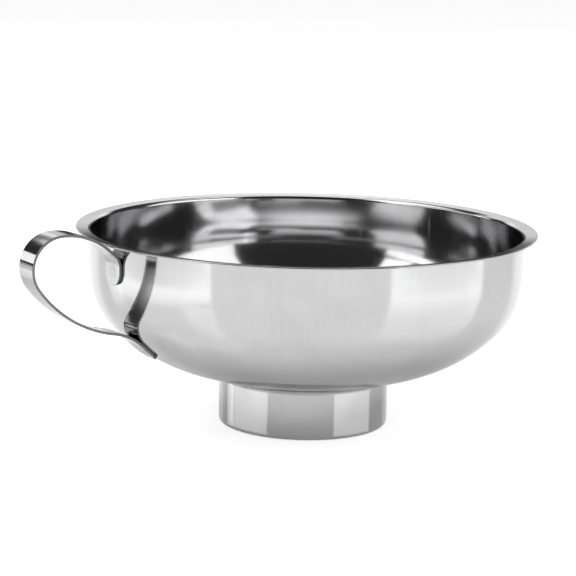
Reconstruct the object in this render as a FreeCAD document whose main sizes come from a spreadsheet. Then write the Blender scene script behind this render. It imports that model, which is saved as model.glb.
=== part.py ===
import FreeCAD, Part
import math
import os
import Sketcher

# Stainless steel canning funnel: a spun bowl with a flared lip and a short collar, a separate neck
# ring lapped over that collar, and a bent strap handle held to the bowl by two spot welds.
# Origin: on the funnel's axis, in the plane of the neck's mouth. +Z is up, and the handle is at -X.
# Every round piece is a section turned about Z. Sections are drawn in the XZ plane.

SIZES = [
    ("sheet_gauge", 0.5, "sheet of the bowl and neck"),
    ("rim_radius", 70.0, "outer edge of the lip"),
    ("total_height", 60.5, "neck mouth to the top of the lip"),
    ("lip_slope", 5.5, "degrees that the lip rises outwards"),
    ("lip_bend_radius", 0.6, "underside of the bend from wall to lip"),
    ("wall_radius", 66.0, "outside of the upright wall"),
    ("wall_foot", 50.85, "height where the upright wall starts to curve in"),
    ("shoulder_radius", 43.3, "first arc below the wall, outside face"),
    ("shoulder_turn", 13.6, "degrees"),
    ("knee_radius", 20.7, "tight arc, outside face"),
    ("knee_turn", 29.9, "degrees"),
    ("floor_radius", 46.3, "arc that runs into the drain cone, outside face"),
    ("floor_turn", 31.7, "degrees"),
    ("collar_bend_radius", 1.0, "underside of the bend from cone to collar"),
    ("collar_foot", 6.0, "height of the collar's lower edge"),
    ("lap_clearance", 0.05, "between the collar and the neck around it"),
    ("neck_radius", 25.9, "outside of the neck"),
    ("neck_top", 14.0, "upper edge of the neck"),
    ("mouth_curl_radius", 1.3, "outside of the curled-in mouth edge"),
    ("mouth_flat", 0.6, "flat ring inside the curl, which the funnel stands on"),
    ("seam_cove_radius", 1.5, "hollow face of the seam weld, from neck to cone"),
    ("strap_gauge", 0.8, "thickness of the handle strap"),
    ("strap_width", 8.5, "width of the handle strap"),
    ("tongue_foot", 48.0, "lower end of the strap's upright tongue"),
    ("tongue_length", 5.6, "straight part of the tongue"),
    ("tongue_bend_radius", 4.6, "finger side"),
    ("tongue_bend_turn", 49.4, "degrees"),
    ("under_lip_run", 2.6, "straight run that passes below the lip"),
    ("crest_radius", 21.0, "finger side"),
    ("crest_turn", 43.3, "degrees"),
    ("grip_radius", 9.0, "finger side"),
    ("grip_turn", 124.1, "degrees"),
    ("sweep_radius", 37.9, "long lower run, finger side"),
    ("tail_bend_radius", 18.0, "reverse bend that meets the bowl"),
    ("tail_turn", 8.6, "degrees of the bowl's floor arc that the tail follows"),
    ("tongue_end_radius", 4.2, "rounding of the tongue's corners"),
    ("tail_end_radius", 3.0, "rounding of the tail's corners"),
    ("weld_radius", 1.7, "spot weld nugget"),
    ("weld_depth", 0.25, "nugget's depth in the bowl's sheet"),
    ("weld_dimple", 0.1, "electrode mark in the strap"),
    ("tongue_weld_height", 51.9, "upper spot weld"),
    ("tail_weld_angle", 50.2, "degrees below level, seen from the floor arc's centre"),
]

# Runs and turns that the dimensions above decide. The solver starts from these and finds them.
COLLAR_RUN, CONE_RUN, WALL_RUN, LIP_RUN = 8.3, 12.2, 8.2, 3.5
SWEEP_TURN, TAIL_BEND_TURN = 37.0, -32.0

# How far off a found edge or point may lie.
NEAR = 0.1

doc = FreeCAD.newDocument("canning_funnel")


def make_sheet():
    """Writes the driving dimensions, one row each: name, value, note."""
    sheet = doc.addObject("Spreadsheet::Sheet", "Sizes")
    for row, (name, value, note) in enumerate(SIZES, start=1):
        sheet.set(f"A{row}", name)
        sheet.set(f"B{row}", str(value))
        sheet.set(f"C{row}", note)
        sheet.setAlias(f"B{row}", name)
    doc.recompute()
    return sheet


sizes = make_sheet()


def size(name):
    return float(sizes.get(name))


def cell(name):
    """The same dimension as an expression that reads the sheet."""
    return f"Sizes.{name}"


def bind(item, **properties):
    """Binds each named property of a feature to an expression."""
    for name, expression in properties.items():
        item.setExpression(name, expression)


# ---------------------------------------------------------------- sections of bent sheet


def vector(x, y):
    return FreeCAD.Vector(x, y, 0)


def direction(degrees):
    turn = math.radians(degrees)
    return vector(math.cos(turn), math.sin(turn))


class Section:
    """A closed section of bent sheet: two faces of tangent runs and arcs, a gauge apart, and two ends.

    The first face is the one whose radii are given. side is +1 if the sheet's thickness lies to the
    left of it, seen along the path, and -1 if to the right.
    """

    START, END, CENTRE = 1, 2, 3
    ORIGIN = (-1, 1)

    def __init__(self, body, gauge, side):
        plane = next(f for f in body.Origin.OriginFeatures if f.Role == "XZ_Plane")
        self.sketch = body.newObject("Sketcher::SketchObject", body.Name + "_section")
        self.sketch.AttachmentSupport = [(plane, "")]
        self.sketch.MapMode = "FlatFace"
        self.gauge, self.side = gauge, side
        self.faces = []

    def fix(self, kind, *where, value=None, expression=None):
        """Adds one constraint, bound to an expression if there is one."""
        arguments = [part for item in where for part in (item if isinstance(item, tuple) else (item,))]
        if value is not None:
            arguments.append(value)
        index = self.sketch.addConstraint(Sketcher.Constraint(kind, *arguments))
        if expression:
            name = f"size_{index}"
            self.sketch.renameConstraint(index, name)
            self.sketch.setExpression(f"Constraints.{name}", expression)

    def lay(self, start, heading, moves):
        """Draws both faces from start. A move is (radius, turn, bound) for an arc, or (None, length,
        bound) for a straight run. bound is the expression that holds the turn or length, or None if
        the rest of the section decides it."""
        for offset in (0, self.side):
            point = FreeCAD.Vector(*start, 0) + direction(heading + 90) * offset * size(self.gauge)
            course, runs = heading, []
            for radius, amount, bound in moves:
                if radius is None:
                    run, point = self.straight(point, course, amount, bound)
                else:
                    run, point = self.arc(point, course, radius, amount, bound, offset)
                    course += amount
                if runs:
                    self.fix("Tangent", (runs[-1][0], runs[-1][2]), (run[0], run[1]))
                runs.append(run)
            self.faces.append(runs)
        (first, second), line = self.faces, Part.LineSegment
        for a, pa, b, pb in ((first[0], 1, second[0], 1), (first[-1], 2, second[-1], 2)):
            ends = [self.sketch.getPoint(run[0], run[position]) for run, position in ((a, pa), (b, pb))]
            edge = self.sketch.addGeometry(line(*ends))
            self.fix("Coincident", (edge, self.START), (a[0], a[pa]))
            self.fix("Coincident", (edge, self.END), (b[0], b[pb]))
            self.faces.append([(edge, self.START, self.END)])

    def straight(self, point, course, length, bound):
        end = point + direction(course) * length
        geometry = self.sketch.addGeometry(Part.LineSegment(point, end))
        if bound:
            self.fix("Distance", geometry, value=length, expression=bound)
        return (geometry, self.START, self.END), end

    def arc(self, point, course, radius, turn, bound, offset):
        left = 1 if turn > 0 else -1
        reach = size(radius) - left * offset * size(self.gauge)
        centre = point + direction(course + 90) * left * reach
        begin, end = course - 90 * left, course + turn - 90 * left
        low, high = (begin, end) if left > 0 else (end, begin)
        circle = Part.Circle(centre, FreeCAD.Vector(0, 0, 1), reach)
        arc = Part.ArcOfCircle(circle, math.radians(low), math.radians(high))
        geometry = self.sketch.addGeometry(arc)
        sign = "-" if left * offset > 0 else "+"
        grown = f" {sign} {cell(self.gauge)}" if offset else ""
        self.fix("Radius", geometry, value=reach, expression=cell(radius) + grown)
        if bound:
            self.fix("Angle", geometry, value=math.radians(abs(turn)), expression=f"{bound} * 1 deg")
        ends = (self.START, self.END) if left > 0 else (self.END, self.START)
        return (geometry, *ends), centre + direction(end) * reach

    def place(self, axis, point, expression):
        """Holds a point at a distance from the origin along X or Y, measured positive."""
        where = self.sketch.getPoint(*point)
        along = where.x if axis == "X" else where.y
        ends = (self.ORIGIN, point) if along > 0 else (point, self.ORIGIN)
        self.fix(f"Distance{axis}", *ends, value=abs(along), expression=expression)


def make_body(name):
    return doc.addObject("PartDesign::Body", name)


def turn_about_z(body, section):
    """Makes a ring of the section, a full turn about the funnel's axis."""
    doc.recompute()
    ring = body.newObject("PartDesign::Revolution", body.Name + "_turned")
    ring.Profile = section.sketch
    ring.ReferenceAxis = (section.sketch, ["V_Axis"])
    ring.Angle = 360
    section.sketch.Visibility = False
    return ring


def floor_centre():
    """Centre of the bowl's floor arc in the section, as expressions for X and Z."""
    first, both = "Sizes.shoulder_turn * 1 deg", "(Sizes.shoulder_turn + Sizes.knee_turn) * 1 deg"
    upper = "(Sizes.shoulder_radius - Sizes.knee_radius)"
    lower = "(Sizes.floor_radius - Sizes.knee_radius)"
    across = f"Sizes.wall_radius - Sizes.shoulder_radius + {upper} * cos({first}) - {lower} * cos({both})"
    height = f"Sizes.wall_foot - {upper} * sin({first}) + {lower} * sin({both})"
    return across, height


def floor_centre_now():
    """The same centre as numbers, for the spot weld in the tail."""
    first, both = math.radians(size("shoulder_turn")), math.radians(size("shoulder_turn") + size("knee_turn"))
    upper, lower = size("shoulder_radius") - size("knee_radius"), size("floor_radius") - size("knee_radius")
    across = size("wall_radius") - size("shoulder_radius") + upper * math.cos(first) - lower * math.cos(both)
    height = size("wall_foot") - upper * math.sin(first) + lower * math.sin(both)
    return across, height


# ---------------------------------------------------------------- bowl and neck


def make_bowl_blank():
    """Spun bowl: collar, drain cone, three arcs, upright wall and flared lip, drawn from the collar up."""
    body = make_body("bowl_blank")
    section = Section(body, "sheet_gauge", side=1)
    collar = "Sizes.neck_radius - Sizes.sheet_gauge - Sizes.lap_clearance"
    collar_now = size("neck_radius") - size("sheet_gauge") - size("lap_clearance")
    cone_slope = 90 - size("floor_turn") - size("knee_turn") - size("shoulder_turn")
    section.lay(
        (collar_now, size("collar_foot")),
        90,
        [
            (None, COLLAR_RUN, None),
            ("collar_bend_radius", cone_slope - 90, None),
            (None, CONE_RUN, None),
            ("floor_radius", size("floor_turn"), cell("floor_turn")),
            ("knee_radius", size("knee_turn"), cell("knee_turn")),
            ("shoulder_radius", size("shoulder_turn"), cell("shoulder_turn")),
            (None, WALL_RUN, None),
            ("lip_bend_radius", size("lip_slope") - 90, None),
            (None, LIP_RUN, None),
        ],
    )
    outside, inside = section.faces[:2]
    for face, gauge in ((outside, ""), (inside, " - Sizes.sheet_gauge")):
        collar_run, wall_run, lip_run = face[0], face[6], face[8]
        collar_end, wall_end, lip_end = (collar_run[0], 1), (wall_run[0], 1), (lip_run[0], 2)
        section.fix("Vertical", collar_run[0])
        section.fix("Vertical", wall_run[0])
        section.place("X", collar_end, collar + gauge)
        section.place("Y", collar_end, cell("collar_foot"))
        section.place("X", wall_end, cell("wall_radius") + gauge)
        section.place("Y", wall_end, cell("wall_foot"))
        slope = math.radians(size("lip_slope"))
        section.fix("Angle", lip_run[0], value=slope, expression="Sizes.lip_slope * 1 deg")
    section.fix("Horizontal", (outside[6][0], 2), (inside[6][0], 2))
    section.place("X", (outside[8][0], 2), cell("rim_radius"))
    section.place("Y", (inside[8][0], 2), cell("total_height"))
    lip_edge = section.faces[3][0][0]
    section.fix("Perpendicular", lip_edge, outside[8][0])
    turn_about_z(body, section)
    bend_centre = section.sketch.getPoint(outside[1][0], Section.CENTRE)
    return body, bend_centre


def make_neck():
    """Neck ring: a straight wall with its mouth edge curled in to a flat ring."""
    body = make_body("neck")
    section = Section(body, "sheet_gauge", side=1)
    mouth = size("neck_radius") - size("mouth_curl_radius") - size("mouth_flat")
    wall = size("neck_top") - size("mouth_curl_radius")
    section.lay(
        (mouth, 0),
        0,
        [
            (None, size("mouth_flat"), cell("mouth_flat")),
            ("mouth_curl_radius", 90, None),
            (None, wall, None),
        ],
    )
    outside, inside = section.faces[:2]
    for face, gauge in ((outside, ""), (inside, " - Sizes.sheet_gauge")):
        section.fix("Horizontal", face[0][0])
        section.fix("Vertical", face[2][0])
        section.place("X", (face[2][0], 2), cell("neck_radius") + gauge)
        section.place("Y", (face[2][0], 2), cell("neck_top"))
    section.fix("Horizontal", Section.ORIGIN, (outside[0][0], 1))
    section.place("Y", (inside[0][0], 1), cell("sheet_gauge"))
    turn_about_z(body, section)
    return body


def collar_bend_centre():
    """Centre of the bend from cone to collar, as expressions for X and Z."""
    slope = "((90 - Sizes.floor_turn - Sizes.knee_turn - Sizes.shoulder_turn) * 1 deg)"
    floor_across, floor_height = floor_centre()
    across = "Sizes.neck_radius - Sizes.sheet_gauge - Sizes.lap_clearance + Sizes.collar_bend_radius"
    reach = "Sizes.floor_radius + Sizes.collar_bend_radius"
    sideways = f"(({across}) - ({floor_across})) * sin({slope})"
    return across, f"{floor_height} - ({reach} - {sideways}) / cos({slope})"


def make_seam_weld(bend_now):
    """Ring of weld in the groove between the neck's upper edge and the bowl, with a hollow outer face.

    Its section is drawn from the neck's upper edge, out and round: edge, cove, cone, bend, collar.
    bend_now is where the bowl's bend has its centre."""
    body = make_body("neck_seam_weld")
    section = Section(body, "sheet_gauge", side=1)
    sketch, cove_now, bend_radius = section.sketch, size("seam_cove_radius"), size("collar_bend_radius")
    slope = 90 - size("floor_turn") - size("knee_turn") - size("shoulder_turn")
    away = direction(slope - 90)
    collar, neck, top = bend_now.x - bend_radius, size("neck_radius"), size("neck_top")
    bend_top = bend_now - away * bend_radius
    cove_x = neck + cove_now
    run = (cove_x - away.x * cove_now - bend_top.x) / math.cos(math.radians(slope))
    cone_end = bend_top + direction(slope) * run
    cove_centre = cone_end + away * cove_now
    up = FreeCAD.Vector(0, 0, 1)
    edge = sketch.addGeometry(Part.LineSegment(vector(collar, top), vector(neck, top)))
    wall = sketch.addGeometry(Part.LineSegment(vector(neck, top), vector(neck, cove_centre.y)))
    circle = Part.Circle(cove_centre, up, cove_now)
    cove = sketch.addGeometry(Part.ArcOfCircle(circle, math.radians(90 + slope), math.pi))
    cone = sketch.addGeometry(Part.LineSegment(cone_end, bend_top))
    circle = Part.Circle(bend_now, up, bend_radius)
    bend = sketch.addGeometry(Part.ArcOfCircle(circle, math.radians(90 + slope), math.pi))
    inner = sketch.addGeometry(Part.LineSegment(vector(collar, bend_now.y), vector(collar, top)))
    start, end, centre = section.START, section.END, section.CENTRE
    section.fix("Coincident", (edge, end), (wall, start))
    section.fix("Coincident", (inner, end), (edge, start))
    section.fix("Tangent", (wall, end), (cove, end))
    section.fix("Tangent", (cove, start), (cone, start))
    section.fix("Tangent", (cone, end), (bend, start))
    section.fix("Tangent", (bend, end), (inner, start))
    section.fix("Horizontal", edge)
    section.fix("Vertical", wall)
    section.fix("Vertical", inner)
    section.place("Y", (edge, start), cell("neck_top"))
    section.place("X", (edge, end), cell("neck_radius"))
    section.fix("Radius", cove, value=cove_now, expression=cell("seam_cove_radius"))
    section.fix("Radius", bend, value=bend_radius, expression=cell("collar_bend_radius"))
    across, height = collar_bend_centre()
    section.place("X", (bend, centre), across)
    section.place("Y", (bend, centre), height)
    back = "Sizes.floor_turn + Sizes.knee_turn + Sizes.shoulder_turn"
    section.fix("Angle", cone, value=math.radians(slope - 180), expression=f"-({back} + 90) * 1 deg")
    turn_about_z(body, section)
    return body


def cut(name, base, tool):
    result = doc.addObject("Part::Cut", name)
    result.Base, result.Tool = base, tool
    return result


# ---------------------------------------------------------------- handle and its spot welds


def make_strap():
    """Handle strap before its weld marks: tongue, bend under the lip, loop and tail along the bowl."""
    body = make_body("strap")
    section = Section(body, "strap_gauge", side=-1)
    section.lay(
        (-size("wall_radius") - size("strap_gauge"), size("tongue_foot")),
        90,
        [
            (None, size("tongue_length"), cell("tongue_length")),
            ("tongue_bend_radius", size("tongue_bend_turn"), cell("tongue_bend_turn")),
            (None, size("under_lip_run"), cell("under_lip_run")),
            ("crest_radius", size("crest_turn"), cell("crest_turn")),
            ("grip_radius", size("grip_turn"), cell("grip_turn")),
            ("sweep_radius", SWEEP_TURN, None),
            ("tail_bend_radius", TAIL_BEND_TURN, None),
            ("floor_radius", size("tail_turn"), cell("tail_turn")),
        ],
    )
    across, height = floor_centre()
    for face, gauge in zip(section.faces[:2], (" + Sizes.strap_gauge", "")):
        tongue, tail = face[0][0], face[-1][0]
        section.fix("Vertical", tongue)
        section.place("X", (tongue, 1), cell("wall_radius") + gauge)
        section.place("Y", (tongue, 1), cell("tongue_foot"))
        section.place("X", (tail, 3), across)
        section.place("Y", (tail, 3), height)
    doc.recompute()
    pad = body.newObject("PartDesign::Pad", "strap_width")
    pad.Profile = section.sketch
    pad.Midplane = True
    bind(pad, Length="Sizes.strap_width")
    section.sketch.Visibility = False
    doc.recompute()
    return round_ends(body, pad)


def round_ends(body, pad):
    """Rounds the corners at both ends of the strap."""
    base = pad
    for name, radius, low, high in (
        ("tongue_end", "tongue_end_radius", size("tongue_foot") - NEAR, size("tongue_foot") + NEAR),
        ("tail_end", "tail_end_radius", 0, size("tongue_foot") - NEAR),
    ):
        shape = base.Shape
        corners = []
        for index, edge in enumerate(shape.Edges, start=1):
            middle = edge.CenterOfMass
            short = edge.Length < size("strap_gauge") + NEAR
            at_side = abs(abs(middle.y) - size("strap_width") / 2) < NEAR
            if short and at_side and low < middle.z < high:
                corners.append(f"Edge{index}")
        rounding = body.newObject("PartDesign::Fillet", name)
        rounding.Base = (base, corners)
        bind(rounding, Radius=cell(radius))
        doc.recompute()
        base = rounding
    body.Tip = base
    return body


def spot(name, point, outward, height):
    """A nugget-sized cylinder that starts inside the bowl's sheet and points out through the strap."""
    solid = doc.addObject("Part::Cylinder", name)
    bind(solid, Radius=cell("weld_radius"), Height=height)
    start = point - outward * size("weld_depth")
    solid.Placement = FreeCAD.Placement(start, FreeCAD.Rotation(FreeCAD.Vector(0, 0, 1), outward))
    return solid


def make_spot_weld(name, point, outward):
    """Returns the nugget and the longer cylinder that makes room for it in bowl and strap."""
    nugget = spot(name, point, outward, "Sizes.weld_depth + Sizes.strap_gauge - Sizes.weld_dimple")
    room = spot(name + "_room", point, outward, "Sizes.weld_depth + 2 * Sizes.strap_gauge")
    return nugget, room


def make_handle_and_welds(bowl_blank):
    upper_point = FreeCAD.Vector(-size("wall_radius"), 0, size("tongue_weld_height"))
    upper, upper_room = make_spot_weld("upper_spot_weld", upper_point, FreeCAD.Vector(-1, 0, 0))
    across, height = floor_centre_now()
    angle = math.radians(size("tail_weld_angle"))
    outward = FreeCAD.Vector(-math.cos(angle), 0, -math.sin(angle))
    tail_point = FreeCAD.Vector(-across, 0, height) + outward * size("floor_radius")
    tail, tail_room = make_spot_weld("tail_spot_weld", tail_point, outward)
    rooms = doc.addObject("Part::MultiFuse", "weld_rooms")
    rooms.Shapes = [upper_room, tail_room]
    handle = cut("handle", make_strap(), rooms)
    bowl = cut("bowl", bowl_blank, rooms)
    return bowl, handle, upper, tail


# ---------------------------------------------------------------- checks and export


def check_document():
    doc.recompute()
    for item in doc.Objects:
        failed = {"Invalid", "Error"} & set(item.State)
        if failed:
            raise RuntimeError(f"{item.Name} is {failed}")
        if item.TypeId == "Sketcher::SketchObject" and item.solve() != 0:
            raise RuntimeError(f"{item.Name} doesn't solve")


def export(parts):
    os.makedirs("parts", exist_ok=True)
    for item in parts:
        shape = item.Shape
        if shape.isNull() or not shape.isValid() or len(shape.Solids) != 1:
            raise RuntimeError(f"{item.Name} isn't one valid solid")
        item.Label = item.Name
        shape.exportStep(f"parts/{item.Label}.step")
        box = shape.BoundBox
        corners = [round(value, 2) for value in (box.XMin, box.YMin, box.ZMin, box.XMax, box.YMax, box.ZMax)]
        print(item.Label, round(shape.Volume, 1), "mm3", corners)


bowl_blank, bend_centre = make_bowl_blank()
neck = make_neck()
seam_weld = make_seam_weld(bend_centre)
bowl, handle, upper_weld, tail_weld = make_handle_and_welds(bowl_blank)
check_document()
export([bowl, neck, seam_weld, handle, upper_weld, tail_weld])
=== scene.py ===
import math
import bpy
from mathutils import Matrix, Vector


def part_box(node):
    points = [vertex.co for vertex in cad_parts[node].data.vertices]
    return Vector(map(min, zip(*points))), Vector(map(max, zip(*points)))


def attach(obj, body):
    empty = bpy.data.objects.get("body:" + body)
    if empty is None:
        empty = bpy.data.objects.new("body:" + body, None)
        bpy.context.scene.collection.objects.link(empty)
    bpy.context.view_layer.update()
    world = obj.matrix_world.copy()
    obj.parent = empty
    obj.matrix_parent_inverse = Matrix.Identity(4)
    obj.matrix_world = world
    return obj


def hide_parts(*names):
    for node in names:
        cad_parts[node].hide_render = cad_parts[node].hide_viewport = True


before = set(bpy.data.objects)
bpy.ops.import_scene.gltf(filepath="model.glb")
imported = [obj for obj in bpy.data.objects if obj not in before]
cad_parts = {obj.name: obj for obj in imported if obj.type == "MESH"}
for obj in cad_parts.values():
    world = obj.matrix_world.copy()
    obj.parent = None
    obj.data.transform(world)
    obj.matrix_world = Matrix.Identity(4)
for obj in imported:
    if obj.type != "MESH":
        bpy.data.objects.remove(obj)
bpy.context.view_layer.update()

MM = 0.001
SKIN = 1e-6                                  # how far off a found point may lie, in metres


# ---------------------------------------------------------------- sizes

bowl_low, bowl_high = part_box("bowl")
neck_low, neck_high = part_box("neck")
handle_low, handle_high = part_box("handle")

RIM_RADIUS = bowl_high.x
TOTAL_HEIGHT = bowl_high.z
COLLAR_FOOT = bowl_low.z
NECK_RADIUS = neck_high.x
NECK_TOP = neck_high.z
STRAP_WIDTH = handle_high.y - handle_low.y
TONGUE_FOOT = 48.0 * MM

SHEET = 0.5 * MM
LIP_SLOPE = 5.5                              # degrees that the lip rises outwards
LIP_BEND = 0.6 * MM
WALL_RADIUS = 66.0 * MM
WALL_FOOT = 50.85 * MM
SHOULDER_RADIUS, SHOULDER_TURN = 43.3 * MM, 13.6
KNEE_RADIUS, KNEE_TURN = 20.7 * MM, 29.9
FLOOR_RADIUS, FLOOR_TURN = 46.3 * MM, 31.7
CONE_SLOPE = 90 - SHOULDER_TURN - KNEE_TURN - FLOOR_TURN
COLLAR_BEND = 1.0 * MM
COLLAR_RADIUS = NECK_RADIUS - SHEET - 0.05 * MM
MOUTH_CURL = 1.3 * MM
MOUTH_FLAT = 0.6 * MM
SEAM_COVE = 1.5 * MM

STRAP = 0.8 * MM
TONGUE_RUN = 5.6 * MM
TONGUE_BEND, TONGUE_TURN = 4.6 * MM, 49.4
UNDER_LIP_RUN = 2.6 * MM
CREST_RADIUS, CREST_TURN = 21.0 * MM, 43.3
GRIP_RADIUS, GRIP_TURN = 9.0 * MM, 124.1
SWEEP_RADIUS = 37.9 * MM
TAIL_BEND = 18.0 * MM
TAIL_TURN = 8.6
TONGUE_END = 4.2 * MM
TAIL_END = 3.0 * MM
SPOT_WELD = 1.7 * MM
SPOT_DEPTH, SPOT_PROUD, SPOT_DIMPLE = 0.4 * MM, 0.06 * MM, 0.04 * MM
SPOT_RIM, SPOT_SLOPE = 0.3, 0.15             # shares of the mark's radius: its raised ring, and the way down
LIP_EDGE, NECK_EDGE, STRAP_EDGE = 0.14 * MM, 0.08 * MM, 0.12 * MM

TURNS = 240                                  # facets around each turned piece
SPOT_TURNS = 64
TONGUE_STEPS, TAIL_STEPS = 10, 8             # rows of vertices over which a strap's end is rounded
SHARP, SMOOTH = 40, 38                       # degrees: broken from here on, and smooth up to here
ARC_STEP = 2.2                               # degrees of bend to one facet, at most
EDGE_FACING = 0.5                            # how far a face looks sideways, or up, before it is another side


# ---------------------------------------------------------------- drawing sections


def direction(degrees):
    turn = math.radians(degrees)
    return Vector((math.cos(turn), 0, math.sin(turn)))


def choose(piece, test):
    """Selects the vertices whose place passes the test, and only those."""
    bpy.ops.object.mode_set(mode="OBJECT")
    mesh = piece.data
    for group in (mesh.polygons, mesh.edges, mesh.vertices):
        group.foreach_set("select", [False] * len(group))
    for vertex in mesh.vertices:
        vertex.select = test(vertex.co)
    bpy.ops.object.mode_set(mode="EDIT")
    bpy.ops.mesh.select_mode(type="VERT")


class Section:
    """Draws a lone point out along runs and bends in the plane of X and Z. Left turns are positive."""

    def __init__(self, name, start, heading):
        bpy.ops.object.select_all(action="DESELECT")
        self.point, self.heading = Vector(start), heading
        bpy.ops.mesh.primitive_plane_add(size=SHEET, location=self.point)
        self.piece = bpy.context.object
        self.piece.name = self.piece.data.name = name
        bpy.ops.object.transform_apply(location=True)
        bpy.ops.object.mode_set(mode="EDIT")
        bpy.ops.mesh.select_mode(type="VERT")
        bpy.ops.mesh.select_all(action="SELECT")
        bpy.ops.mesh.merge(type="CENTER")
        self.path = [self.point.copy()]

    def run(self, length, shares):
        for share in shares:
            step = direction(self.heading) * length * share
            bpy.ops.mesh.extrude_vertices_move(TRANSFORM_OT_translate={"value": step})
            self.point = self.point + step
            self.path.append(self.point.copy())

    def bend(self, radius, turn, shares=None):
        left = math.copysign(1, turn)
        centre = self.point + direction(self.heading + 90 * left) * radius
        for share in shares or even(math.ceil(abs(turn) / ARC_STEP)):
            bpy.ops.mesh.spin(steps=1, angle=math.radians(turn * share), center=centre, axis=(0, 1, 0))
            self.heading += turn * share
            self.point = centre + direction(self.heading - 90 * left) * radius
            self.path.append(self.point.copy())


def even(count):
    return [1 / count] * count


def closing_in(count):
    """Shares of a run that get shorter towards its end, as the chords of a rounded corner do."""
    marks = [math.sin(math.pi / 2 * step / count) for step in range(count + 1)]
    return [after - before for before, after in zip(marks, marks[1:])]


def tidy_normals(piece, place, outward):
    """Merges doubles and turns all faces the way that the face nearest to a place should look."""
    bpy.ops.mesh.select_all(action="SELECT")
    bpy.ops.mesh.remove_doubles(threshold=SKIN)
    bpy.ops.mesh.select_all(action="SELECT")
    bpy.ops.mesh.normals_make_consistent(inside=False)
    bpy.ops.object.mode_set(mode="OBJECT")
    nearest = min(piece.data.polygons, key=lambda face: (face.center - place).length)
    if nearest.normal.dot(outward) < 0:
        bpy.ops.object.mode_set(mode="EDIT")
        bpy.ops.mesh.select_all(action="SELECT")
        bpy.ops.mesh.flip_normals()
        bpy.ops.object.mode_set(mode="OBJECT")


def apply(piece, kind, **settings):
    bpy.context.view_layer.objects.active = piece
    modifier = piece.modifiers.new(kind.title(), kind)
    for name, value in settings.items():
        setattr(modifier, name, value)
    bpy.ops.object.modifier_apply(modifier=modifier.name)


def thicken(piece, gauge, edge):
    """Gives a drawn skin its gauge on the side away from its normals, and breaks its sharp edges."""
    apply(piece, "SOLIDIFY", thickness=gauge, offset=-1, use_even_offset=True, use_quality_normals=True)
    soften(piece, edge)


def soften(piece, edge):
    apply(piece, "BEVEL", width=edge, segments=3, limit_method="ANGLE", angle_limit=math.radians(SHARP))
    bpy.ops.object.shade_smooth_by_angle(angle=math.radians(SMOOTH))
    apply(piece, "WEIGHTED_NORMAL", keep_sharp=True)


def turn_round():
    """Turns the drawn section about Z into a ring."""
    bpy.ops.mesh.select_all(action="SELECT")
    bpy.ops.mesh.spin(steps=TURNS, angle=math.tau, center=(0, 0, 0), axis=(0, 0, 1))


def cut_edge(face):
    return abs(face.normal.y) > EDGE_FACING


def outside(face):
    looks_out = face.normal.x * face.center.x + face.normal.y * face.center.y > 0
    return looks_out and face.normal.z < EDGE_FACING


def finish_piece(piece, node, material, second_material=None, takes_second=None):
    """Gives a piece its steel, and a second one to the faces that take it."""
    piece.data.materials.clear()
    piece.data.materials.append(material)
    if second_material:
        piece.data.materials.append(second_material)
        for face in piece.data.polygons:
            face.material_index = int(takes_second(face))
    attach(piece, "root")
    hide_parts(node)


# ---------------------------------------------------------------- pieces


def floor_arc_centre():
    """Centre of the bowl's floor arc in the section on the +X side."""
    point = Vector((WALL_RADIUS - SHOULDER_RADIUS, 0, WALL_FOOT))
    point = point + direction(-SHOULDER_TURN) * (SHOULDER_RADIUS - KNEE_RADIUS)
    return point - direction(-SHOULDER_TURN - KNEE_TURN) * (FLOOR_RADIUS - KNEE_RADIUS)


def make_bowl():
    """Spun bowl, drawn on its outside face from the collar's foot to the lip's edge."""
    slope = math.radians(CONE_SLOPE)
    centre = floor_arc_centre()
    cone_end = centre + direction(CONE_SLOPE - 90) * FLOOR_RADIUS
    bend_across = COLLAR_RADIUS + COLLAR_BEND
    bend_top_x = bend_across - math.sin(slope) * COLLAR_BEND
    cone_run = (cone_end.x - bend_top_x) / math.cos(slope)
    cone_start = cone_end - direction(CONE_SLOPE) * cone_run
    bend_centre_z = cone_start.z - math.cos(slope) * COLLAR_BEND
    section = Section("spun_bowl", (COLLAR_RADIUS, 0, COLLAR_FOOT), 90)
    section.run(bend_centre_z - COLLAR_FOOT, even(4))
    section.bend(COLLAR_BEND, CONE_SLOPE - 90, even(10))
    section.run(cone_run, even(8))
    section.bend(FLOOR_RADIUS, FLOOR_TURN)
    section.bend(KNEE_RADIUS, KNEE_TURN)
    section.bend(SHOULDER_RADIUS, SHOULDER_TURN)
    lip = direction(LIP_SLOPE)
    lip_run = (RIM_RADIUS - WALL_RADIUS - LIP_BEND * (1 - lip.z)) / lip.x
    wall_top = TOTAL_HEIGHT - lip.x * SHEET - lip_run * lip.z - LIP_BEND * lip.x
    section.run(wall_top - section.point.z, even(8))
    section.bend(LIP_BEND, LIP_SLOPE - 90, even(10))
    section.run(lip_run, even(3))
    turn_round()
    tidy_normals(section.piece, Vector((WALL_RADIUS, 0, WALL_FOOT)), Vector((1, 0, 0)))
    thicken(section.piece, SHEET, LIP_EDGE)
    return section.piece


def make_neck():
    """Neck ring, drawn on its outside face from the mouth's edge up."""
    start = NECK_RADIUS - MOUTH_CURL - MOUTH_FLAT
    section = Section("neck_ring", (start, 0, 0), 0)
    section.run(MOUTH_FLAT, even(1))
    section.bend(MOUTH_CURL, 90, even(12))
    section.run(NECK_TOP - section.point.z, even(10))
    turn_round()
    tidy_normals(section.piece, Vector((NECK_RADIUS, 0, NECK_TOP / 2)), Vector((1, 0, 0)))
    thicken(section.piece, SHEET, NECK_EDGE)
    return section.piece


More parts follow.
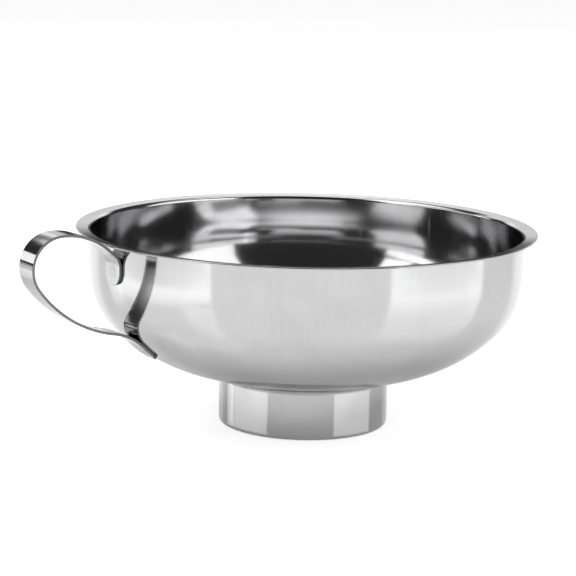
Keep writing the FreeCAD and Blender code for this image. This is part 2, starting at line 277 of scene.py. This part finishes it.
def make_seam_weld():
    """Dressed weld in the groove between the neck's upper edge and the bowl."""
    slope = math.radians(CONE_SLOPE)
    centre = floor_arc_centre()
    cone_end = centre + direction(CONE_SLOPE - 90) * FLOOR_RADIUS
    cove_end_x = NECK_RADIUS + SEAM_COVE * (1 - math.sin(slope))
    cove_end_z = cone_end.z - (cone_end.x - cove_end_x) * math.tan(slope)
    cove_start_z = cove_end_z - SEAM_COVE * math.cos(slope)
    section = Section("seam_weld_ring", (NECK_RADIUS, 0, NECK_TOP), 90)
    section.run(cove_start_z - NECK_TOP, even(1))
    section.bend(SEAM_COVE, CONE_SLOPE - 90, even(12))
    bend_top_x = COLLAR_RADIUS + COLLAR_BEND * (1 - math.sin(slope))
    section.heading = CONE_SLOPE + 180
    section.run((section.point.x - bend_top_x) / math.cos(slope), even(2))
    section.bend(COLLAR_BEND, 90 - CONE_SLOPE, even(8))
    section.run(section.point.z - NECK_TOP, even(1))
    section.heading = 0
    section.run(NECK_RADIUS - section.point.x, even(1))
    turn_round()
    tidy_normals(section.piece, Vector((NECK_RADIUS, 0, NECK_TOP)), Vector((1, 0, 0)))
    bpy.ops.object.shade_smooth_by_angle(angle=math.radians(SMOOTH))
    return section.piece


def make_handle():
    """Strap handle, drawn on the finger's side of the strap from the tongue's foot to the tail's end."""
    floor_centre = floor_arc_centre()
    floor_centre.x = -floor_centre.x
    section = Section("strap_handle", (-WALL_RADIUS - STRAP, 0, TONGUE_FOOT), 90)
    section.run(TONGUE_END, closing_in(TONGUE_STEPS)[::-1])
    section.run(TONGUE_RUN - TONGUE_END, even(2))
    section.bend(TONGUE_BEND, TONGUE_TURN)
    section.run(UNDER_LIP_RUN, even(2))
    section.bend(CREST_RADIUS, CREST_TURN)
    section.bend(GRIP_RADIUS, GRIP_TURN)
    sweep_centre = section.point + direction(section.heading + 90) * SWEEP_RADIUS
    apart = (floor_centre - sweep_centre).length
    near, far = SWEEP_RADIUS + TAIL_BEND, FLOOR_RADIUS + TAIL_BEND
    at_sweep = math.acos((near ** 2 + apart ** 2 - far ** 2) / (2 * near * apart))
    at_floor = math.acos((far ** 2 + apart ** 2 - near ** 2) / (2 * far * apart))
    line = floor_centre - sweep_centre
    line_angle = math.degrees(math.atan2(line.z, line.x))
    radial = line_angle - math.degrees(at_sweep)
    sweep_turn = (radial + 90 - section.heading) % 360
    back_angle = line_angle + 180 + math.degrees(at_floor)
    tail_heading = back_angle + 90
    tail_turn = (tail_heading - (section.heading + sweep_turn)) % 360 - 360
    section.bend(SWEEP_RADIUS, sweep_turn)
    section.bend(TAIL_BEND, tail_turn)
    tail_length = math.radians(TAIL_TURN) * FLOOR_RADIUS
    rounded = TAIL_END / tail_length
    section.bend(FLOOR_RADIUS, TAIL_TURN * (1 - rounded), even(4))
    section.bend(FLOOR_RADIUS, TAIL_TURN * rounded, closing_in(TAIL_STEPS))
    piece = section.piece
    bpy.ops.mesh.select_all(action="SELECT")
    bpy.ops.transform.translate(value=(0, -STRAP_WIDTH / 2, 0))
    bpy.ops.mesh.extrude_region_move(TRANSFORM_OT_translate={"value": (0, STRAP_WIDTH, 0)})
    round_end(piece, section.path[:TONGUE_STEPS], TONGUE_END, TONGUE_STEPS)
    round_end(piece, section.path[:-TAIL_STEPS - 1:-1], TAIL_END, TAIL_STEPS)
    tidy_normals(piece, section.path[TONGUE_STEPS + 1], Vector((-1, 0, 0)))
    thicken(piece, STRAP, STRAP_EDGE)
    return piece


def make_spot_weld(name, middle, outward):
    """Mark of a spot weld on the strap's outer face: a flat dimple inside a low raised ring."""
    bpy.ops.object.select_all(action="DESELECT")
    bpy.ops.mesh.primitive_cylinder_add(vertices=SPOT_TURNS, radius=SPOT_WELD, depth=SPOT_DEPTH)
    piece = bpy.context.object
    piece.name = piece.data.name = name
    bpy.ops.object.mode_set(mode="EDIT")
    choose(piece, lambda co: co.z > 0)
    bpy.ops.mesh.inset(thickness=SPOT_WELD * SPOT_RIM)
    bpy.ops.mesh.inset(thickness=SPOT_WELD * SPOT_SLOPE)
    bpy.ops.transform.translate(value=(0, 0, -SPOT_DIMPLE))
    tidy_normals(piece, Vector((SPOT_WELD, 0, 0)), Vector((1, 0, 0)))
    soften(piece, SPOT_DIMPLE)
    facing = outward.to_track_quat("Z", "Y").to_matrix().to_4x4()
    piece.matrix_world = Matrix.Translation(middle) @ facing
    bpy.ops.object.select_all(action="DESELECT")
    piece.select_set(True)
    bpy.context.view_layer.objects.active = piece
    bpy.ops.object.transform_apply(location=True, rotation=True)
    return piece


def make_spot_welds():
    """The upper weld's mark on the tongue, and the tail's."""
    tongue_face = -WALL_RADIUS - STRAP
    upper_low, upper_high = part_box("upper_spot_weld")
    tail_low, tail_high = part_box("tail_spot_weld")
    upper = Vector((tongue_face, 0, (upper_low.z + upper_high.z) / 2))
    centre = floor_arc_centre()
    centre.x = -centre.x
    outward = ((tail_low + tail_high) / 2 - centre).normalized()
    tail = centre + outward * (FLOOR_RADIUS + STRAP)
    sunk = SPOT_DEPTH / 2 - SPOT_PROUD
    return (make_spot_weld("upper_spot_mark", upper + Vector((sunk, 0, 0)), Vector((-1, 0, 0))),
            make_spot_weld("tail_spot_mark", tail - outward * sunk, outward))


def round_end(piece, rows, radius, count):
    """Narrows the rows of vertices at a strap's end, so that its corners are round."""
    for row, place in enumerate(rows):
        reach = math.cos(math.pi / 2 * row / count)
        width = STRAP_WIDTH / 2 - radius * (1 - math.sqrt(max(0, 1 - reach ** 2)))
        choose(piece, lambda co: math.hypot(co.x - place.x, co.z - place.z) < SKIN)
        bpy.ops.transform.resize(value=(1, 2 * width / STRAP_WIDTH, 1), center_override=(0, 0, 0))


# ---------------------------------------------------------------- finishes

SMUDGE_TONE = 0.93                           # how much of the steel's tone is left under a smudge

def node(tree, kind, **settings):
    made = tree.nodes.new(kind)
    for name, value in settings.items():
        setattr(made, name, value)
    return made


def feed(tree, target, **inputs):
    """Sets or links a node's inputs. Underscores in a name stand for spaces."""
    for name, value in inputs.items():
        key = int(name[1:]) if name[0] == "_" else name.replace("_", " ")
        if isinstance(value, bpy.types.NodeSocket):
            tree.links.new(value, target.inputs[key])
        else:
            target.inputs[key].default_value = value
    return target


def sums(tree, operation, *values):
    made = node(tree, "ShaderNodeMath", operation=operation)
    return feed(tree, made, **{f"_{n}": value for n, value in enumerate(values)}).outputs[0]


def new_group(name, inputs, outputs):
    tree = bpy.data.node_groups.new(name, "ShaderNodeTree")
    for label, value in inputs:
        socket = tree.interface.new_socket(label, in_out="INPUT", socket_type="NodeSocketFloat")
        socket.default_value = value
    for label in outputs:
        tree.interface.new_socket(label, in_out="OUTPUT", socket_type="NodeSocketFloat")
    return tree, node(tree, "NodeGroupInput").outputs, node(tree, "NodeGroupOutput")


def make_drawn_lines():
    """Lines left by a wheel or a lathe: Around counts them round the axis, Along up the section."""
    inputs = [("Around", 4), ("Along", 900), ("Roughness of Lines", 0.6)]
    tree, given, result = new_group("drawn_lines", inputs, ["Height"])
    place = node(tree, "ShaderNodeTexCoord").outputs["Object"]
    parts = feed(tree, node(tree, "ShaderNodeSeparateXYZ"), Vector=place).outputs
    flat = feed(tree, node(tree, "ShaderNodeCombineXYZ"), X=parts["X"], Y=parts["Y"]).outputs[0]
    radius = feed(tree, node(tree, "ShaderNodeVectorMath", operation="LENGTH"), _0=flat).outputs["Value"]
    unit = feed(tree, node(tree, "ShaderNodeVectorMath", operation="NORMALIZE"), _0=flat).outputs[0]
    round_axis = feed(tree, node(tree, "ShaderNodeVectorMath", operation="SCALE"), _0=unit,
                      Scale=given["Around"]).outputs[0]
    course = sums(tree, "MULTIPLY", sums(tree, "ADD", parts["Z"], radius), given["Along"])
    up = feed(tree, node(tree, "ShaderNodeCombineXYZ"), Z=course).outputs[0]
    add = node(tree, "ShaderNodeVectorMath", operation="ADD")
    where = feed(tree, add, _0=round_axis, _1=up).outputs[0]
    noise = feed(tree, node(tree, "ShaderNodeTexNoise"), Vector=where, Scale=1.0, Detail=3.0,
                 Roughness=given["Roughness of Lines"])
    feed(tree, result, Height=noise.outputs["Fac"])
    return tree


def make_handling_marks():
    """Smudges and hairline scratches from use, as a mask from 0 to 1 each."""
    tree, given, result = new_group("handling_marks", [("Smudge Size", 60)], ["Smudges", "Scratches"])
    place = node(tree, "ShaderNodeTexCoord").outputs["Object"]
    smudge = feed(tree, node(tree, "ShaderNodeTexNoise"), Vector=place, Scale=given["Smudge Size"],
                  Detail=4.0, Roughness=0.55, Distortion=0.6)
    smudges = feed(tree, node(tree, "ShaderNodeMapRange"), Value=smudge.outputs["Fac"],
                   From_Min=0.45, From_Max=0.75)
    turned = feed(tree, node(tree, "ShaderNodeMapping"), Vector=place, Rotation=(0.4, 0.9, 0.3),
                  Scale=(2600, 90, 90))
    hairs = feed(tree, node(tree, "ShaderNodeTexNoise"), Vector=turned.outputs[0], Scale=1.0, Detail=2.0)
    scratches = feed(tree, node(tree, "ShaderNodeMapRange"), Value=hairs.outputs["Fac"],
                     From_Min=0.68, From_Max=0.76)
    feed(tree, result, Smudges=smudges.outputs[0], Scratches=scratches.outputs[0])
    return tree


def make_steel(name, colour, rough, around, along, depth, marks=0.05, streaks=0.02):
    """Polished stainless steel with drawn lines of a given depth in metres, pale and dark by streaks."""
    material = bpy.data.materials.new(name)
    material.use_nodes = True
    tree = material.node_tree
    shader = tree.nodes["Principled BSDF"]
    shader.inputs["Metallic"].default_value = 1.0
    lines = feed(tree, node(tree, "ShaderNodeGroup", node_tree=DRAWN_LINES), Around=around, Along=along)
    wear = feed(tree, node(tree, "ShaderNodeGroup", node_tree=HANDLING_MARKS))
    base = sums(tree, "MULTIPLY_ADD", wear.outputs["Smudges"], marks, rough)
    base = sums(tree, "MULTIPLY_ADD", lines.outputs["Height"], rough * 0.5, base)
    base = sums(tree, "MULTIPLY_ADD", wear.outputs["Scratches"], marks * 2, base)
    shade = node(tree, "ShaderNodeMix", data_type="RGBA")
    dull = [channel * SMUDGE_TONE for channel in colour[:3]] + [1]
    feed(tree, shade, _0=wear.outputs["Smudges"], _6=colour, _7=dull)
    level = sums(tree, "MULTIPLY_ADD", lines.outputs["Height"], streaks * 2, 1 - streaks)
    scale = node(tree, "ShaderNodeVectorMath", operation="SCALE")
    tinted = feed(tree, scale, _0=shade.outputs[2], Scale=level)
    bump = feed(tree, node(tree, "ShaderNodeBump"), Height=lines.outputs["Height"], Strength=1.0,
                Distance=depth)
    feed(tree, shader, Base_Color=tinted.outputs[0], Roughness=base, Normal=bump.outputs[0])
    return material


DRAWN_LINES = make_drawn_lines()
HANDLING_MARKS = make_handling_marks()
STEEL = (0.62, 0.62, 0.625, 1)

bowl_steel = make_steel("spun_bowl_steel", STEEL, 0.07, 330, 60, 0.4e-6)
satin_steel = make_steel("bowl_outside_steel", STEEL, 0.07, 330, 60, 0.6e-6, streaks=0.08)
# The neck's steel is painted darker than the bowl's: painted shade for the floor in the bowl's shadow that
# the neck reflects.
neck_steel = make_steel("neck_steel", (0.57, 0.57, 0.575, 1), 0.06, 4, 1500, 0.3e-6)
# The strap's steel is painted darker than the bowl's: painted shade for the dark reflections in the strap's
# inner face.
strap_steel = make_steel("strap_steel", (0.5, 0.5, 0.505, 1), 0.06, 30, 60, 0.3e-6)
# The strap's cut edges are darker and rougher, as real cut edges are; their dark tone is also painted shade
# for the shadow beside the tongue's edge.
strap_edge_steel_with_painted_shade = make_steel("strap_edge_steel_with_painted_shade", (0.2, 0.2, 0.205, 1), 0.3, 30, 900, 2e-6)
weld_steel = make_steel("dressed_weld_steel", (0.6, 0.6, 0.605, 1), 0.2, 180, 900, 3e-6)

finish_piece(make_bowl(), "bowl", bowl_steel, satin_steel, outside)
finish_piece(make_neck(), "neck", neck_steel)
finish_piece(make_seam_weld(), "neck_seam_weld", weld_steel)
finish_piece(make_handle(), "handle", strap_steel, strap_edge_steel_with_painted_shade, cut_edge)
for mark, name in zip(make_spot_welds(), ("upper_spot_weld", "tail_spot_weld")):
    finish_piece(mark, name, weld_steel)


# ---------------------------------------------------------------- studio

CAMERA_SIDE = -33.3                          # degrees round from -Y, towards -X
CAMERA_REACH, CAMERA_HEIGHT = 656.8 * MM, 168.0 * MM
CAMERA_HEADING = CAMERA_SIDE + 0.464
CAMERA_PITCH, CAMERA_ROLL = 10.915, 1.266
LENS, SENSOR = 136.65, 36.0
FLOOR_TONE, FLOOR_POLISH, FLOOR_INDEX = 0.9, 0.12, 1.5
FLOOR_GLOW = (0.65, 0.12)                    # seen straight, and seen in the steel
PANEL_REACH = 0.9                            # from the part's axis to the side softboxes
ROOM_LEVEL = 0.03
BACKDROP_SIDE = (0.72, 0.8)                  # cosine of the angle from straight beyond, edge and full
CEILING_SIDE = (0.0, 0.25)
BACKDROP_STOPS = ((0, 0), (0.12, 0.02), (0.16, 0.8), (0.24, 0.75), (0.3, 0.95), (0.37, 1.4), (0.46, 0))
CEILING_STOPS = ((0, 0), (0.6, 0.02), (0.72, 0.12), (0.82, 0.65), (0.86, 1.3), (0.9, 2.0), (1.0, 2.2))


def studio_turn(degrees):
    """Turns a place laid out with the camera on the -Y side into the part's own frame."""
    return Matrix.Rotation(math.radians(degrees), 4, "Z")


def make_camera():
    camera = bpy.data.objects.new("camera", bpy.data.cameras.new("camera"))
    camera.data.lens, camera.data.sensor_width = LENS, SENSOR
    camera.data.clip_start, camera.data.clip_end = 0.01, 50
    place = studio_turn(CAMERA_SIDE) @ Vector((0, -CAMERA_REACH, CAMERA_HEIGHT))
    camera.matrix_world = (Matrix.Translation(place) @ studio_turn(CAMERA_HEADING)
                           @ Matrix.Rotation(math.radians(90 - CAMERA_PITCH), 4, "X")
                           @ Matrix.Rotation(math.radians(CAMERA_ROLL), 4, "Z"))
    bpy.context.scene.collection.objects.link(camera)
    bpy.context.scene.camera = camera


def make_floor():
    bpy.ops.object.select_all(action="DESELECT")
    bpy.ops.mesh.primitive_plane_add(size=8)
    floor = bpy.context.object
    floor.name = "studio_floor"
    material = bpy.data.materials.new("studio_floor")
    material.use_nodes = True
    tree = material.node_tree
    matt = feed(tree, node(tree, "ShaderNodeBsdfDiffuse"), Color=(FLOOR_TONE, FLOOR_TONE, FLOOR_TONE, 1))
    gloss = feed(tree, node(tree, "ShaderNodeBsdfGlossy"), Color=(1, 1, 1, 1), Roughness=FLOOR_POLISH)
    grazing = feed(tree, node(tree, "ShaderNodeFresnel"), IOR=FLOOR_INDEX).outputs[0]
    sheen = feed(tree, node(tree, "ShaderNodeMixShader"), _0=grazing, _2=gloss.outputs[0])
    seen = node(tree, "ShaderNodeLightPath").outputs["Is Camera Ray"]
    level = sums(tree, "MULTIPLY_ADD", seen, FLOOR_GLOW[0] - FLOOR_GLOW[1], FLOOR_GLOW[1])
    glow = feed(tree, node(tree, "ShaderNodeEmission"), Color=(1, 1, 1, 1), Strength=level)
    pale = feed(tree, node(tree, "ShaderNodeAddShader"), _0=matt.outputs[0], _1=glow.outputs[0])
    shiny = feed(tree, node(tree, "ShaderNodeAddShader"), _0=pale.outputs[0], _1=sheen.outputs[0])
    mix = feed(tree, node(tree, "ShaderNodeMixShader"), _0=seen, _1=shiny.outputs[0], _2=pale.outputs[0])
    below = node(tree, "ShaderNodeNewGeometry").outputs["Backfacing"]
    clear = node(tree, "ShaderNodeBsdfTransparent")
    mix = feed(tree, node(tree, "ShaderNodeMixShader"), _0=below, _1=mix.outputs[0], _2=clear.outputs[0])
    feed(tree, tree.nodes["Material Output"], Surface=mix.outputs[0])
    floor.data.materials.append(material)


def make_panel(name, place, width, height, radiance, side=0, tilt=0):
    """A softbox laid out with the camera on the -Y side, turned round by side. At no tilt it shines down."""
    light = bpy.data.lights.new(name, "AREA")
    light.shape, light.size, light.size_y = "RECTANGLE", width, height
    light.energy = radiance * math.pi * width * height
    panel = bpy.data.objects.new(name, light)
    turn = studio_turn(CAMERA_SIDE + side)
    panel.matrix_world = (Matrix.Translation(turn @ Vector(place)) @ turn
                          @ Matrix.Rotation(math.radians(tilt), 4, "X"))
    panel.visible_camera = False
    bpy.context.scene.collection.objects.link(panel)
    return panel


def make_side_panel(name, sides, rises, radiance):
    """An upright softbox that fills a range of sides and of rises, in degrees, as seen from the part."""
    half = math.radians(sides[1] - sides[0]) / 2
    low, high = (TOTAL_HEIGHT + PANEL_REACH * math.tan(math.radians(rise)) for rise in rises)
    place, width = (0, -PANEL_REACH, (low + high) / 2), 2 * PANEL_REACH * math.tan(half)
    make_panel(name, place, width, high - low, radiance, side=sum(sides) / 2, tilt=90)


def make_ramp(tree, value, stops):
    """Straight steps between pairs of a value and a level, up to the last pair."""
    ramp = feed(tree, node(tree, "ShaderNodeValToRGB"), _0=value)
    marks = ramp.color_ramp.elements
    while len(marks) < len(stops):
        marks.new(1.0)
    for mark, (place, level) in zip(marks, stops):
        mark.position, mark.color = place, (level, level, level, 1)
    return ramp.outputs["Color"]


def make_world():
    """White to the camera. In the steel, a dark room with a pale backdrop beyond and a pale ceiling."""
    world = bpy.data.worlds.new("studio")
    bpy.context.scene.world = world
    world.use_nodes = True
    tree = world.node_tree
    way = node(tree, "ShaderNodeTexCoord").outputs["Generated"]
    beyond = studio_turn(CAMERA_SIDE) @ Vector((0, 1, 0))
    facing = feed(tree, node(tree, "ShaderNodeVectorMath", operation="DOT_PRODUCT"), _0=way, _1=beyond)
    height = feed(tree, node(tree, "ShaderNodeSeparateXYZ"), Vector=way).outputs["Z"]
    level = ROOM_LEVEL
    for side, stops in ((BACKDROP_SIDE, BACKDROP_STOPS), (CEILING_SIDE, CEILING_STOPS)):
        ahead = feed(tree, node(tree, "ShaderNodeMapRange"), Value=facing.outputs["Value"],
                     From_Min=side[0], From_Max=side[1])
        level = sums(tree, "MULTIPLY_ADD", ahead.outputs[0], make_ramp(tree, height, stops), level)
    shown = node(tree, "ShaderNodeLightPath").outputs["Is Camera Ray"]
    strength = feed(tree, node(tree, "ShaderNodeMix"), _0=shown, _2=level, _3=1.0)
    feed(tree, tree.nodes["Background"], Strength=strength.outputs[0], Color=(1, 1, 1, 1))


make_camera()
make_floor()
make_side_panel("left_low_softbox", (-114, -48), (4, 14), 1.8)
make_side_panel("left_softbox", (-66, -48), (14, 39), 1.7)
make_side_panel("left_back_softbox", (-123, -110), (2, 15), 1.6)
make_side_panel("left_back_strip", (-172, -122), (28, 35), 1.2)
make_side_panel("left_screen", (-102, -66), (14, 39), 0.35)
make_side_panel("left_high_softbox", (-108, -48), (39, 67), 2.2)
make_side_panel("right_softbox", (43, 102), (3, 46), 1.6)
fill = make_panel("floor_fill", (0, -0.4, 0.9), 0.6, 0.6, 3.0)
fill.visible_glossy = False
make_world()
bpy.context.scene.view_settings.view_transform = "Standard"
